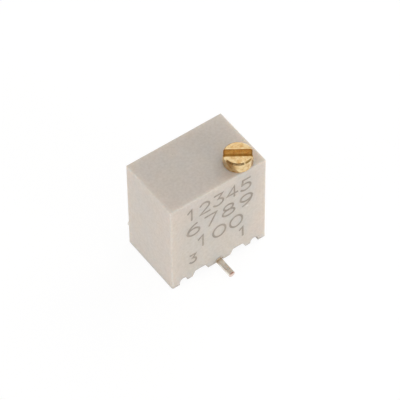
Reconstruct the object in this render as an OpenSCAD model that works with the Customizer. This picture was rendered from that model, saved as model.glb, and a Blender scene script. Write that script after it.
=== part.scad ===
// Surface-mount multi-turn trimmer potentiometer, 1/4 inch square, adjusted from the top.
// Millimetres, Z up. The origin lies on the board under the middle of the housing.
// The front, where lead 2 leaves, faces -Y. Lead 1 leaves at the rear right and lead 3 at the rear left.

/* [Housing] */
// Width across the front face
body_w = 6.7; // [6.6:0.1:7.4]
// Depth from the front face to the rear face
body_d = 4.4; // [4.2:0.1:5]
// Height from the corner feet to the top face
body_h = 6.96; // [6.7:0.02:7.6]
// Radius on the outer edges
edge_r = 0.1; // [0.04:0.02:0.16]
// Thickness of the two side walls
side_wall = 0.44; // [0.36:0.02:0.48]
// Thickness of the rear wall, which the substrate leans on
rear_wall = 0.45; // [0.3:0.05:0.55]
// Thickness of the top over the rear room
top_wall = 0.65; // [0.5:0.05:0.8]
// Wall left between the screw bore and the rear room
bore_wall = 0.25; // [0.2:0.05:0.35]
// Diameter of the moulding gate's vestige on the rear face
gate_d = 0.2; // [0.14:0.02:0.3]
// How far the gate's vestige stands out
gate_h = 0.06; // [0.04:0.01:0.1]
// Height of the gate above the corner feet
gate_z = 1.25; // [1:0.05:3]

/* [Underside] */
// Gap between the board and the corner feet
foot_gap = 0.05; // [0.02:0.01:0.1]
// How much shorter the inner and middle feet are than the corner feet
inner_foot_lift = 0.11; // [0.06:0.01:0.16]
// Height of the reliefs between the feet above the corner feet
relief_lift = 0.5; // [0.4:0.02:0.52]
// Radius in the top corners of the reliefs
relief_r = 0.08; // [0.04:0.02:0.14]
// How much each end of a relief leans in from the feet up to its top
relief_slant = 0.16; // [0.08:0.02:0.24]
// Width of the two feet beside the outer arches
inner_foot_w = 0.36; // [0.25:0.01:0.5]
// Width of the middle foot
middle_foot_w = 1.6; // [1.3:0.02:2]
// Gap round a lead in an outer arch
arch_gap = 0.07; // [0.05:0.01:0.09]
// Height of the outer arches' centres above the inner feet
outer_arch_rise = 0.05; // [0.04:0.01:0.08]
// Gap round a lead in the middle arch
middle_arch_gap = 0.06; // [0.04:0.01:0.1]
// Height of the middle arch's centre above the middle foot
middle_arch_rise = 0.07; // [0.04:0.01:0.1]

/* [Adjusting screw] */
// Distance from the right face to the screw's axis
screw_from_side = 1.37; // [1.3:0.01:1.45]
// Distance from the front face to the screw's axis
screw_from_front = 0.87; // [0.84:0.01:0.95]
// Diameter of the head
head_d = 1.76; // [1.5:0.02:1.9]
// Height of the head
head_h = 0.72; // [0.6:0.02:0.9]
// Running gap under the head
head_gap = 0.03; // [0.02:0.01:0.05]
// Chamfer round the top of the head
head_chamfer = 0.09; // [0.04:0.01:0.12]
// Width of the screwdriver slot
slot_w = 0.55; // [0.4:0.01:0.65]
// Depth of the screwdriver slot
slot_depth = 0.52; // [0.3:0.01:0.56]
// Direction of the slot, from the front face's direction
slot_angle = -35; // [-90:1:90]
// Diameter of the shank and of the worm's crest
shank_d = 1.04; // [0.98:0.01:1.08]
// Diameter of the worm's root
root_d = 0.68; // [0.62:0.01:0.72]
// Radial running gap in the housing's bore
bore_gap = 0.04; // [0.02:0.01:0.06]
// Length of the journal under the clip's groove
end_journal = 0.3; // [0.2:0.05:0.4]
// Gap under the end of the screw
end_gap = 0.05; // [0.03:0.01:0.1]

/* [Seal and clip] */
// Depth of the O-ring's middle below the top face
seal_drop = 0.53; // [0.45:0.01:0.6]
// Diameter of the O-ring's groove
seal_groove_d = 0.72; // [0.64:0.02:0.8]
// Room beside the O-ring in its groove
seal_side_room = 0.06; // [0.02:0.01:0.08]
// Gap between the O-ring and what it seals
seal_gap = 0.01; // [0.01:0.01:0.02]
// Thickness of the retaining clip
clip_t = 0.2; // [0.12:0.02:0.24]
// Width of each prong of the clip
clip_prong_w = 0.2; // [0.12:0.02:0.24]
// Gap round the clip in its slot and in the screw's groove
clip_gap = 0.02; // [0.01:0.01:0.04]
// Length of the prongs beyond the screw's axis
clip_reach = 0.4; // [0.3:0.05:0.45]

/* [Worm drive] */
// Number of teeth on the wheel, which is also the turns of the screw for one turn of the wheel
wheel_teeth = 18; // [16:1:20]
// Width of the ledge between the side wall's inner face and the wheel's pocket
pocket_ledge = 0.33; // [0.26:0.01:0.4]
// Depth of the wheel's axis below the top face
wheel_drop = 3.11; // [3.05:0.01:3.2]
// Width of the toothed rim
rim_w = 0.84; // [0.7:0.02:0.86]
// Gap between the rim and the front wall
rim_gap = 0.05; // [0.03:0.01:0.08]
// Gap between a tooth's tip and the other part's root
tip_gap = 0.04; // [0.03:0.01:0.06]
// Gap between the teeth and the housing
pocket_gap = 0.1; // [0.06:0.01:0.14]
// Backlash on each flank of a tooth
backlash = 0.06; // [0.05:0.005:0.08]
// Turns of thread on the worm
worm_turns = 3.5; // [3:0.5:4]
// Diameter of the wheel's hub
hub_d = 3; // [2.9:0.05:3.2]
// Wall of the cored hub
hub_wall = 0.3; // [0.2:0.05:0.4]
// Diameter of the boss in the middle of the wheel
boss_d = 1.4; // [1.2:0.1:1.6]
// Depth of the core in the front of the wheel
core_depth = 1.5; // [0.8:0.1:1.6]
// Diameter of the wheel's pivot in the substrate
pivot_d = 0.9; // [0.8:0.02:0.96]
// Radial running gap round the pivot
pivot_gap = 0.04; // [0.02:0.01:0.06]
// Gap behind the end of the pivot
pivot_end_gap = 0.05; // [0.03:0.01:0.1]

/* [Resistance element] */
// Thickness of the ceramic substrate
substrate_t = 0.6; // [0.5:0.05:0.7]
// Gap round the substrate's sides and top
substrate_gap = 0.05; // [0.03:0.01:0.08]
// Height of the substrate's lower edge above the board
substrate_z = 0.75; // [0.7:0.01:0.8]
// Thickness of the printed films
film_t = 0.03; // [0.02:0.005:0.05]
// Radius of the resistive track's middle
track_r = 1.7; // [1.6:0.01:1.75]
// Width of the resistive track
track_w = 0.5; // [0.4:0.02:0.56]
// Angle that the resistive track spans
track_span = 270; // [266:1:274]
// Angle of the ring that each solder pad's silver covers beyond the track's end
pad_sector = 15; // [10:1:20]
// Radius of the collector ring's middle
collector_r = 0.92; // [0.88:0.01:0.96]
// Width of the collector ring
collector_w = 0.36; // [0.3:0.02:0.4]
// Width of a solder pad
pad_w = 0.48; // [0.4:0.02:0.5]
// Gap between the resin and the solder pads above it
pad_gap = 0.02; // [0.01:0.01:0.05]
// Height of a solder pad
pad_h = 0.7; // [0.65:0.05:0.8]

/* [Wiper] */
// Thickness of the wiper's sheet
wiper_t = 0.08; // [0.05:0.01:0.1]
// Diameter of the wiper's disc
wiper_d = 2.8; // [2.7:0.05:2.9]
// Room for the wiper between the hub and the substrate
wiper_room = 0.67; // [0.6:0.01:0.75]
// Gap between a wiper's contact and its film
contact_gap = 0.02; // [0.01:0.01:0.03]
// Fingers on the resistive track
track_fingers = 3; // [2:1:3]
// Fingers on the collector ring
collector_fingers = 2; // [1:1:2]
// Width of a finger
finger_w = 0.16; // [0.12:0.01:0.18]
// Pitch of the fingers
finger_pitch = 0.23; // [0.22:0.01:0.25]
// Diameter of the two posts that the wiper is staked on
stake_d = 0.26; // [0.2:0.02:0.3]
// How far the stakes stand out behind the sheet
stake_h = 0.07; // [0.04:0.01:0.1]
// Width of sheet between the pivot's hole and the window for the track's fingers
wiper_web = 0.2; // [0.16:0.01:0.24]
// Width of sheet outside the window for the collector's fingers
wiper_rim = 0.08; // [0.06:0.01:0.1]
// Room beside the fingers in their windows
window_room = 0.05; // [0.04:0.01:0.07]
// Length of a contact along its finger
contact_l = 0.1; // [0.08:0.01:0.12]
// How far a finger's free end turns away from its film
contact_lift = 0.06; // [0.04:0.01:0.1]
// Length of a finger that stays flat before its bend
finger_flat = 0.04; // [0.03:0.01:0.06]

/* [Leads] */
// Diameter of the round leads
lead_d = 0.42; // [0.38:0.01:0.46]
// Distance from a side face to the outer lead beside it, which leaves a pitch of 2.54 between leads
lead_from_side = 0.81; // [0.79:0.01:0.85]
// How far lead 2 reaches past the front face
front_reach = 1.25; // [1:0.05:1.5]
// How far leads 1 and 3 reach past the rear face
rear_reach = 1; // [0.8:0.05:1.5]
// Inside radius of the bends plus half the lead
bend_r = 0.3; // [0.24:0.01:0.3]
// Distance from the front face to the drop of lead 2
drop_from_front = 0.93; // [0.85:0.01:1.1]
// Solder between a lead and its pad
solder_film = 0.03; // [0.02:0.01:0.05]
// Solder round a lead
solder_t = 0.05; // [0.04:0.01:0.05]
// Height of a solder joint
solder_h = 0.6; // [0.4:0.05:0.65]

/* [Potting] */
// Height of the resin's lower face above the board
potting_z = 0.57; // [0.57:0.01:0.62]
// Thickness of the resin
potting_t = 0.53; // [0.5:0.01:0.58]

/* [Hidden] */
$fn = 64;
// Cuts run this far past the faces that they open
past = 0.5;
// Solids that join lap each other by this much
lap = 0.02;

// Housing: levels above the board, and the faces of its rooms
feet_z = foot_gap;
inner_feet_z = feet_z + inner_foot_lift;
relief_z = feet_z + relief_lift;
top_z = feet_z + body_h;
front_y = -body_d / 2;
rear_y = body_d / 2;
room_x = body_w / 2 - side_wall;
room_top_z = top_z - top_wall;
room_rear_y = rear_y - rear_wall;
arch_r = lead_d / 2 + arch_gap;
middle_arch_r = lead_d / 2 + middle_arch_gap;
lead_pitch = body_w / 2 - lead_from_side;

// Screw: its axis and radii
screw_x = body_w / 2 - screw_from_side;
screw_y = front_y + screw_from_front;
shank_r = shank_d / 2;
root_r = root_d / 2;
bore_r = shank_r + bore_gap;

// Worm drive: single-start right-hand worm and a straight-toothed wheel set at the lead angle
// The wheel is as large as the housing's width leaves room for
worm_pitch_r = (shank_r + root_r) / 2;
tip_addendum = worm_pitch_r - root_r - tip_gap;
wheel_pitch_r = (screw_x - worm_pitch_r + room_x - pocket_ledge - pocket_gap - tip_addendum) / 2;
lead_length = 2 * PI * wheel_pitch_r / wheel_teeth;
lead_angle = atan(lead_length / (2 * PI * worm_pitch_r));
wheel_x = screw_x - worm_pitch_r - wheel_pitch_r;
wheel_z = top_z - wheel_drop;
wheel_tip_r = wheel_pitch_r + tip_addendum;
wheel_root_r = wheel_pitch_r + worm_pitch_r - shank_r - tip_gap;
pocket_r = wheel_tip_r + pocket_gap;
// The thread fills this share of the lead at its root and at its crest
thread_root_share = 0.42;
thread_crest_share = 0.2;
// The thread and the teeth run this far into what carries them
thread_sink = 0.05;
tooth_sink = 0.1;
thread_root_w = thread_root_share * lead_length;
thread_crest_w = thread_crest_share * lead_length;
tooth_tip_w = lead_length - thread_root_w - 2 * backlash;
tooth_root_w = lead_length - thread_crest_w - 2 * backlash;

// Faces from front to rear
rim_front_y = screw_y - rim_w / 2;
pocket_front_y = rim_front_y - rim_gap;
room_front_y = screw_y + bore_r + bore_wall;
substrate_front_y = room_rear_y - substrate_t;
film_front_y = substrate_front_y - film_t;
hub_rear_y = film_front_y - wiper_room;
contact_y = film_front_y - contact_gap;
pivot_end_y = room_rear_y - pivot_end_gap;
pivot_r = pivot_d / 2;

// Heights along the screw, from the bottom up
run_out = 0.23;
collar_h = 0.1;
worm_half = worm_turns * lead_length / 2 + run_out;
clip_groove_top = wheel_z - worm_half - collar_h;
clip_groove_z = clip_groove_top - clip_t - 2 * clip_gap;
screw_end_z = clip_groove_z - end_journal;
head_z = top_z + head_gap;
head_top_z = head_z + head_h;
seal_z = top_z - seal_drop;
seal_groove_r = seal_groove_d / 2;
seal_section_r = (bore_r - seal_groove_r) / 2 - seal_gap;
seal_r = (bore_r + seal_groove_r) / 2;
seal_groove_half = seal_section_r + seal_side_room;

// Clip: its inner and outer half width, and its slot
clip_inner = root_r + clip_gap;
clip_outer = clip_inner + clip_prong_w;
clip_rear = room_front_y - screw_y - clip_gap;

// Leads and pads
lead_r = lead_d / 2;
lead_y = film_front_y - solder_film - lead_r;
pad_z = potting_z + potting_t + pad_gap;
pad_top_z = pad_z + pad_h;
lead_run_z = potting_z + potting_t / 2;
track_end = 90 - track_span / 2;

// A prism along Y: a flat shape drawn in X and Z, from one Y to another
module slab(from_y, to_y) {
    translate([0, to_y, 0])
        rotate([90, 0, 0])
            linear_extrude(to_y - from_y)
                children();
}

// A rectangle between two corners
module span(low, high) {
    translate(low)
        square(high - low);
}

// A rectangle with rounded corners
module round_span(low, high, r) {
    span(low + [r, 0], high - [r, 0]);
    span(low + [0, r], high - [0, r]);
    for (x = [low[0] + r, high[0] - r], y = [low[1] + r, high[1] - r])
        translate([x, y])
            circle(r);
}

// The housing's outer block, rounded on its upright and top edges
module block() {
    half = body_w / 2;
    intersection() {
        translate([0, 0, feet_z])
            linear_extrude(body_h)
                round_span([-half, front_y], [half, rear_y], edge_r);
        slab(front_y - past, rear_y + past)
            round_span([-half, -body_h], [half, top_z], edge_r);
        translate([-half - past, 0, 0])
            rotate([90, 0, 90])
                linear_extrude(body_w + 2 * past)
                    round_span([front_y, -body_h], [rear_y, top_z], edge_r);
    }
}

// An opening for a lead, round above its centre and open below it
module arch(x, z, r) {
    translate([x, z])
        circle(r);
    span([x - r, -past], [x + r, z]);
}

// A relief between two feet, from one side to the other, with leaning ends and rounded top corners
module relief(left, right) {
    low = [left + relief_slant, inner_feet_z];
    round_span(low, [right - relief_slant, relief_z], relief_r);
    polygon([
        [left, -past],
        [right, -past],
        [right, inner_feet_z],
        [right - relief_slant, relief_z - relief_r],
        [left + relief_slant, relief_z - relief_r],
        [left, inner_feet_z]
    ]);
}

// What is cut from the lower edge, seen from the front: arches for the leads and reliefs between feet
module underside_cuts() {
    arch_side = lead_pitch + arch_r;
    relief_in = middle_foot_w / 2;
    relief_out = lead_pitch - arch_r - inner_foot_w;
    span([-arch_side, -past], [arch_side, inner_feet_z]);
    arch(-lead_pitch, inner_feet_z + outer_arch_rise, arch_r);
    arch(lead_pitch, inner_feet_z + outer_arch_rise, arch_r);
    arch(0, inner_feet_z + middle_arch_rise, middle_arch_r);
    relief(-relief_out, -relief_in);
    relief(relief_in, relief_out);
}

// Plan of the space inside: the wheel's pocket in front and the element's room behind it
module room_plan() {
    span([wheel_x - pocket_r, pocket_front_y], [wheel_x + pocket_r, room_front_y + lap]);
    span([-room_x, room_front_y], [room_x, room_rear_y]);
}

// The inside of the housing, open below, with the pocket's top round over the wheel
module rooms() {
    translate([0, 0, -past])
        linear_extrude(wheel_z + past)
            room_plan();
    slab(pocket_front_y, room_front_y + lap)
        translate([wheel_x, wheel_z])
            circle(pocket_r);
    translate([0, 0, wheel_z - lap])
        linear_extrude(room_top_z - wheel_z + lap)
            span([-room_x, room_front_y], [room_x, room_rear_y]);
}

module housing() {
    color("#cdc6bb")
        difference() {
            union() {
                block();
                translate([-body_w / 2 + edge_r + gate_d / 2 - lap, rear_y - lap, feet_z + gate_z])
                    rotate([-90, 0, 0])
                        cylinder(h = gate_h + lap, d = gate_d);
            }
            slab(front_y - past, rear_y + past)
                underside_cuts();
            rooms();
            translate([screw_x, screw_y, screw_end_z - end_gap])
                cylinder(h = body_h, r = bore_r);
            translate([screw_x, screw_y, clip_groove_z])
                linear_extrude(clip_t + 2 * clip_gap)
                    span(
                        [-clip_outer - clip_gap, -clip_reach - clip_gap],
                        [clip_outer + clip_gap, room_front_y - screw_y + lap]
                    );
        }
}

// Half of the screw's turned outline, from the lower end up to the top of the head
module screw_outline() {
    polygon([
        [0, screw_end_z],
        [shank_r, screw_end_z],
        [shank_r, clip_groove_z],
        [root_r, clip_groove_z],
        [root_r, clip_groove_top],
        [shank_r, clip_groove_top],
        [shank_r, clip_groove_top + collar_h],
        [root_r, clip_groove_top + collar_h],
        [root_r, wheel_z + worm_half],
        [shank_r, wheel_z + worm_half],
        [shank_r, seal_z - seal_groove_half],
        [seal_groove_r, seal_z - seal_groove_half],
        [seal_groove_r, seal_z + seal_groove_half],
        [shank_r, seal_z + seal_groove_half],
        [shank_r, head_z],
        [head_d / 2, head_z],
        [head_d / 2, head_top_z - head_chamfer],
        [head_d / 2 - head_chamfer, head_top_z],
        [0, head_top_z]
    ]);
}

// One ring of the worm's thread at an angle round the screw; grown is 0 at a run-out and 1 at full height
function thread_ring(angle, grown) =
    let (
        inside = root_r - thread_sink,
        crest = inside + (shank_r - inside) * grown,
        middle = wheel_z + lead_length * angle / 360,
        flank = (thread_root_w - thread_crest_w) / 2
    )
    [
        for (corner = [
            [inside, -thread_root_w / 2],
            [crest, -thread_root_w / 2 + flank],
            [crest, thread_root_w / 2 - flank],
            [inside, thread_root_w / 2]
        ])
            [corner[0] * cos(angle), corner[0] * sin(angle), middle + corner[1]]
    ];

// The worm's thread as one solid, with a run-out of an eighth of a turn at each end
module worm_thread() {
    steps_per_turn = 24;
    steps = worm_turns * steps_per_turn;
    run_out_steps = steps_per_turn / 8;
    least_grown = 0.1;
    rings = [
        for (i = [0:steps])
            let (grown = min(1, i / run_out_steps, (steps - i) / run_out_steps))
                thread_ring((i - steps / 2) * 360 / steps_per_turn, max(least_grown, grown))
    ];
    sides = len(rings[0]);
    points = [for (ring = rings) each ring];
    walls = [
        for (i = [0:steps - 1], j = [0:sides - 1])
            let (a = i * sides + j, b = i * sides + (j + 1) % sides)
                each [[a, b + sides, a + sides], [a, b, b + sides]]
    ];
    last = steps * sides;
    ends = [[0, 2, 1], [0, 3, 2], [last, last + 1, last + 2], [last, last + 2, last + 3]];
    polyhedron(points = points, faces = concat(walls, ends));
}

module adjusting_screw() {
    color("#d8ae68")
        translate([screw_x, screw_y, 0])
            difference() {
                union() {
                    rotate_extrude()
                        screw_outline();
                    worm_thread();
                }
                translate([0, 0, head_top_z - slot_depth])
                    rotate([0, 0, slot_angle])
                        translate([-head_d, -slot_w / 2, 0])
                            cube([2 * head_d, slot_w, head_h]);
            }
}

module screw_o_ring() {
    color("#5a2f28")
        translate([screw_x, screw_y, seal_z])
            rotate_extrude()
                translate([seal_r, 0])
                    circle(seal_section_r);
}

// U-shaped clip that slides in from the rear and holds the screw by its groove
module screw_retaining_clip() {
    color("#b9b7b0")
        translate([screw_x, screw_y, clip_groove_z + clip_gap])
            linear_extrude(clip_t)
                difference() {
                    span([-clip_outer, -clip_reach], [clip_outer, clip_rear]);
                    circle(clip_inner);
                    span([-clip_inner, -clip_reach - past], [clip_inner, 0]);
                }
}

// The wheel's own frame: its axis is Z, pointing to the rear, from the front of the rim
module wheel_frame() {
    translate([wheel_x, rim_front_y, wheel_z])
        rotate([-90, 0, 0])
            children();
}

// One tooth, tilted to the worm's lead angle about its own radius
module wheel_tooth() {
    translate([0, 0, rim_w / 2])
        rotate([-lead_angle, 0, 0])
            linear_extrude(2 * rim_w, center = true)
                polygon([
                    [wheel_root_r - tooth_sink, -tooth_root_w / 2],
                    [wheel_root_r, -tooth_root_w / 2],
                    [wheel_tip_r, -tooth_tip_w / 2],
                    [wheel_tip_r, tooth_tip_w / 2],
                    [wheel_root_r, tooth_root_w / 2],
                    [wheel_root_r - tooth_sink, tooth_root_w / 2]
                ]);
}

module worm_wheel() {
    hub_length = hub_rear_y - rim_front_y;
    hub_r = hub_d / 2;
    color("#e8e2d2") {
        wheel_frame() {
            rotate_extrude()
                polygon([
                    [0, 0],
                    [boss_d / 2, 0],
                    [boss_d / 2, core_depth],
                    [hub_r - hub_wall, core_depth],
                    [hub_r - hub_wall, 0],
                    [wheel_root_r, 0],
                    [wheel_root_r, rim_w],
                    [hub_r, rim_w],
                    [hub_r, hub_length],
                    [pivot_r, hub_length],
                    [pivot_r, pivot_end_y - rim_front_y],
                    [0, pivot_end_y - rim_front_y]
                ]);
            intersection() {
                for (i = [0:wheel_teeth - 1])
                    rotate([0, 0, i * 360 / wheel_teeth])
                        wheel_tooth();
                cylinder(h = rim_w, r = pocket_r);
            }
            for (side = [-1, 1])
                translate([side * stake_x(), 0, hub_length - lap])
                    cylinder(h = wiper_t + stake_h + lap, d = stake_d);
        }
    }
}

// Distance of the wiper's stakes from the wheel's axis, midway between the pivot and the disc's edge
function stake_x() = (pivot_r + wiper_d / 2) / 2;

// A finger of the wiper, drawn from the side as [height, distance behind the hub] along its middle
module finger(x, path) {
    near = [for (p = path) [hub_rear_y + p[1], wheel_z + p[0]]];
    far = [for (p = reversed(near)) p + [wiper_t, 0]];
    translate([wheel_x + x - finger_w / 2, 0, 0])
        rotate([90, 0, 90])
            linear_extrude(finger_w)
                polygon(concat(near, far));
}

// Sheet wiper: a disc on the hub, with fingers bent out of two windows to the track and the collector
module wiper_spring() {
    rise = contact_y - hub_rear_y - wiper_t;
    disc_r = wiper_d / 2;
    hole_r = pivot_r + pivot_gap;
    track_root = hole_r + wiper_web;
    collector_root = disc_r - wiper_rim;
    track_window = (track_fingers - 1) / 2 * finger_pitch + finger_w / 2 + window_room;
    collector_window = (collector_fingers - 1) / 2 * finger_pitch + finger_w / 2 + window_room;
    color("#c9a35a") {
        slab(hub_rear_y, hub_rear_y + wiper_t)
            translate([wheel_x, wheel_z])
                difference() {
                    circle(disc_r);
                    circle(hole_r);
                    span([-track_window, track_root + finger_flat], [track_window, disc_r + past]);
                    span(
                        [-collector_window, -collector_root + finger_flat],
                        [collector_window, -collector_r + contact_l]
                    );
                    for (side = [-1, 1])
                        translate([side * stake_x(), 0])
                            circle(d = stake_d);
                }
        for (i = [0:track_fingers - 1])
            finger((i - (track_fingers - 1) / 2) * finger_pitch, [
                [track_root, 0],
                [track_root + finger_flat, 0],
                [track_r - contact_l / 2, rise],
                [track_r + contact_l / 2, rise],
                [track_r + contact_l, rise - contact_lift]
            ]);
        for (i = [0:collector_fingers - 1])
            finger((i - (collector_fingers - 1) / 2) * finger_pitch, [
                [-collector_root, 0],
                [-collector_root + finger_flat, 0],
                [-collector_r - contact_l / 2, rise],
                [-collector_r + contact_l / 2, rise],
                [-collector_r + contact_l, rise - contact_lift]
            ]);
    }
}

// Ceramic plate that carries the printed films and the wheel's pivot
module substrate_blank() {
    half = room_x - substrate_gap;
    slab(substrate_front_y, room_rear_y)
        span([-half, substrate_z], [half, room_top_z - substrate_gap]);
}

module element_substrate() {
    color("#eceae4")
        difference() {
            substrate_blank();
            translate([wheel_x, room_rear_y + past, wheel_z])
                rotate([90, 0, 0])
                    cylinder(h = substrate_t + 2 * past, r = pivot_r + pivot_gap);
        }
}

// A flat ring round the wheel's axis
module ring(middle_r, width) {
    difference() {
        circle(middle_r + width / 2);
        circle(middle_r - width / 2);
    }
}

// A point at an angle round the wheel's axis
function polar(r, angle) = r * [cos(angle), sin(angle)];

// The wedge round the wheel's axis from a lower angle to a higher one, wider than the track
module wedge(from, to) {
    wedge_r = 3 * track_r;
    polygon([[0, 0], polar(wedge_r, from), polar(wedge_r, (from + to) / 2), polar(wedge_r, to)]);
}

function reversed(list) = [for (i = [len(list) - 1:-1:0]) list[i]];

module resistive_track() {
    color("#3b3833")
        slab(film_front_y, substrate_front_y)
            translate([wheel_x, wheel_z])
                difference() {
                    ring(track_r, track_w);
                    wedge(-180 - track_end, track_end);
                }
}

module collector_ring() {
    strip = collector_w / 2;
    color("#c4c2bc")
        slab(film_front_y, substrate_front_y) {
            translate([wheel_x, wheel_z])
                ring(collector_r, collector_w);
            polygon([
                [wheel_x - strip, wheel_z - collector_r],
                [-pad_w / 2, pad_top_z],
                [-pad_w / 2, pad_z],
                [pad_w / 2, pad_z],
                [pad_w / 2, pad_top_z],
                [wheel_x + strip, wheel_z - collector_r]
            ]);
        }
}

// Silver film from one end of the track to the solder pad on that side
module terminal_pad(side) {
    axis = [wheel_x, wheel_z];
    turn = side > 0 ? track_end : 180 - track_end;
    end = turn - side * pad_sector;
    outer = track_r + track_w / 2;
    pad_in = side * (lead_pitch - pad_w / 2);
    pad_out = side * (lead_pitch + pad_w / 2);
    outline = [
        axis + polar(outer - lap, turn),
        [pad_out, pad_top_z],
        [pad_out, pad_z],
        [pad_in, pad_z],
        [pad_in, pad_top_z - lead_d / 2],
        axis + polar(outer - lap, end)
    ];
    color("#c4c2bc")
        slab(film_front_y, substrate_front_y) {
            translate(axis)
                intersection() {
                    ring(track_r, track_w);
                    wedge(min(turn, end), max(turn, end));
                }
            polygon(side > 0 ? reversed(outline) : outline);
        }
}

// A round wire along points in the side view (Y, Z), with right-angle corners bent to one radius
module bent_wire(x, points) {
    last = len(points) - 1;
    translate([x, 0, 0])
        rotate([90, 0, 90]) {
            for (i = [0:last - 1]) {
                run = points[i + 1] - points[i];
                ahead = run / norm(run);
                start = i == 0 ? 0 : bend_r;
                stop = norm(run) - (i == last - 1 ? 0 : bend_r);
                translate(points[i] + start * ahead)
                    rotate([0, 0, atan2(ahead[1], ahead[0])])
                        rotate([0, 90, 0])
                            cylinder(h = stop - start, r = lead_r);
            }
            for (i = [1:last - 1]) {
                before = (points[i] - points[i - 1]) / norm(points[i] - points[i - 1]);
                after = (points[i + 1] - points[i]) / norm(points[i + 1] - points[i]);
                from = cross(before, after) > 0 ? -after : before;
                translate(points[i] + bend_r * (after - before))
                    rotate([0, 0, atan2(from[1], from[0])])
                        rotate_extrude(angle = 90)
                            translate([bend_r, 0])
                                circle(lead_r);
            }
        }
}

// Leads 1 and 3 drop from their pads and leave under the rear wall
module rear_lead(side) {
    color("#b9b2a6")
        bent_wire(side * lead_pitch, [[lead_y, pad_top_z], [lead_y, lead_r], [rear_y + rear_reach, lead_r]]);
}

// Lead 2 runs forward inside the resin, then drops to the board and leaves at the front
module front_lead() {
    drop_y = front_y + drop_from_front;
    color("#b9b2a6")
        bent_wire(0, [
            [lead_y, pad_top_z],
            [lead_y, lead_run_z],
            [drop_y, lead_run_z],
            [drop_y, lead_r],
            [front_y - front_reach, lead_r]
        ]);
}

// Solder round the upper end of a lead, flat against its pad
module solder_joint(x) {
    outer = lead_r + solder_t;
    color("#a8a8a4")
        difference() {
            translate([x, lead_y, pad_top_z - solder_h])
                rotate_extrude()
                    polygon([
                        [lead_r, 0],
                        [outer, solder_t],
                        [outer, solder_h - solder_t],
                        [lead_r, solder_h]
                    ]);
            translate([x - outer - past, film_front_y, 0])
                cube([2 * (outer + past), past, top_z]);
        }
}

module potting_resin() {
    color("#8c8a6a")
        difference() {
            translate([0, 0, potting_z])
                linear_extrude(potting_t)
                    room_plan();
            substrate_blank();
            rear_lead(-1);
            rear_lead(1);
            front_lead();
        }
}

housing();
adjusting_screw();
screw_o_ring();
screw_retaining_clip();
worm_wheel();
wiper_spring();
element_substrate();
resistive_track();
collector_ring();
terminal_pad(1);  // terminal_pad_1
terminal_pad(-1);  // terminal_pad_3
rear_lead(1);  // lead_1
front_lead();  // lead_2
rear_lead(-1);  // lead_3
solder_joint(lead_pitch);  // solder_joint_1
solder_joint(0);  // solder_joint_2
solder_joint(-lead_pitch);  // solder_joint_3
potting_resin();
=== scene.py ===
"""Looks of a surface-mount multi-turn trimmer potentiometer.

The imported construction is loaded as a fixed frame, in metres, with Z up from the board.
Each sub-assembly is a class that dresses its own nodes and adds the small pieces that only
show: the laser-marked figures on the front face, the cropped ends of the wires and the beads
of flux at their roots. The studio is a white sheet under soft light, with two felt cards for
the metal to mirror.
"""

import logging
import math
from dataclasses import dataclass, replace
from enum import Enum
from typing import Any, Iterable, Sequence

import bmesh
import bpy
from mathutils import Matrix, Vector


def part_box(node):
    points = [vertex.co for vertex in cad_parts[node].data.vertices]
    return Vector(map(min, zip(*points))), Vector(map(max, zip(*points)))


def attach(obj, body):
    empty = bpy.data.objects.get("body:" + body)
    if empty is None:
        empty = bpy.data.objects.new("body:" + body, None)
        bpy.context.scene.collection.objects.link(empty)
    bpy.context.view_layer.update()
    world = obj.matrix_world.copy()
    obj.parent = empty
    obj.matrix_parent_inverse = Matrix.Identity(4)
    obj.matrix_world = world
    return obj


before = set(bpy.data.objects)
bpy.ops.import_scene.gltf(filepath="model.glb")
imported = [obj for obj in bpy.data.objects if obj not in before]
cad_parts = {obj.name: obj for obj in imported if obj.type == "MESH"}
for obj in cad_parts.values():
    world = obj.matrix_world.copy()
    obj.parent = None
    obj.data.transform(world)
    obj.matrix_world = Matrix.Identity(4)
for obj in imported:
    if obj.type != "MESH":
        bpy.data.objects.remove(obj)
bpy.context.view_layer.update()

LOG = logging.getLogger("trimmer")
MM = 0.001
# The body that every added piece moves with
BASE = "base"

Colour = tuple[float, float, float, float]
Point = tuple[float, float]
Triple = tuple[float, float, float]
Socket = bpy.types.NodeSocket
Tree = bpy.types.NodeTree


class Slot(Enum):
    """The record's material slots."""

    HOUSING = "housing_plastic"
    LEAD = "lead_tinned"
    RESIN = "resin"


class Side(Enum):
    """The side of the housing at which a lead leaves, as a direction along Y."""

    FRONT = -1
    REAR = 1


class Axis(Enum):
    """The directions in which a film is measured: up from the board, or out along a lead."""

    UP = "Z"
    OUT = "Y"


# ---- small helpers


def to_linear(colour: str) -> Colour:
    """Turns an sRGB hex colour into the linear values that a shader takes.

    Args:
        colour: Six hex digits after a hash, such as "#cdc6bb".

    Returns:
        Red, green, blue and a full alpha, linear.
    """
    parts = [int(colour[i : i + 2], 16) / 255 for i in (1, 3, 5)]
    linear = [c / 12.92 if c <= 0.04045 else ((c + 0.055) / 1.055) ** 2.4 for c in parts]
    return (linear[0], linear[1], linear[2], 1.0)


def grey(level: float) -> Colour:
    """Gives a linear grey."""
    return (level, level, level, 1.0)


def per_mm(size_mm: float) -> float:
    """Gives the texture scale, per metre, at which one cell of a pattern is size_mm wide."""
    return 1 / (size_mm * MM)


def toward(azimuth: float, elevation: float) -> Vector:
    """Gives the direction from the part to a place round it.

    Args:
        azimuth: Angle round the part, in degrees; 0 is the front.
        elevation: Angle above the board, in degrees.

    Returns:
        A direction of length 1.
    """
    a, e = math.radians(azimuth), math.radians(elevation)
    return Vector((math.sin(a) * math.cos(e), -math.cos(a) * math.cos(e), math.sin(e)))


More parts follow.
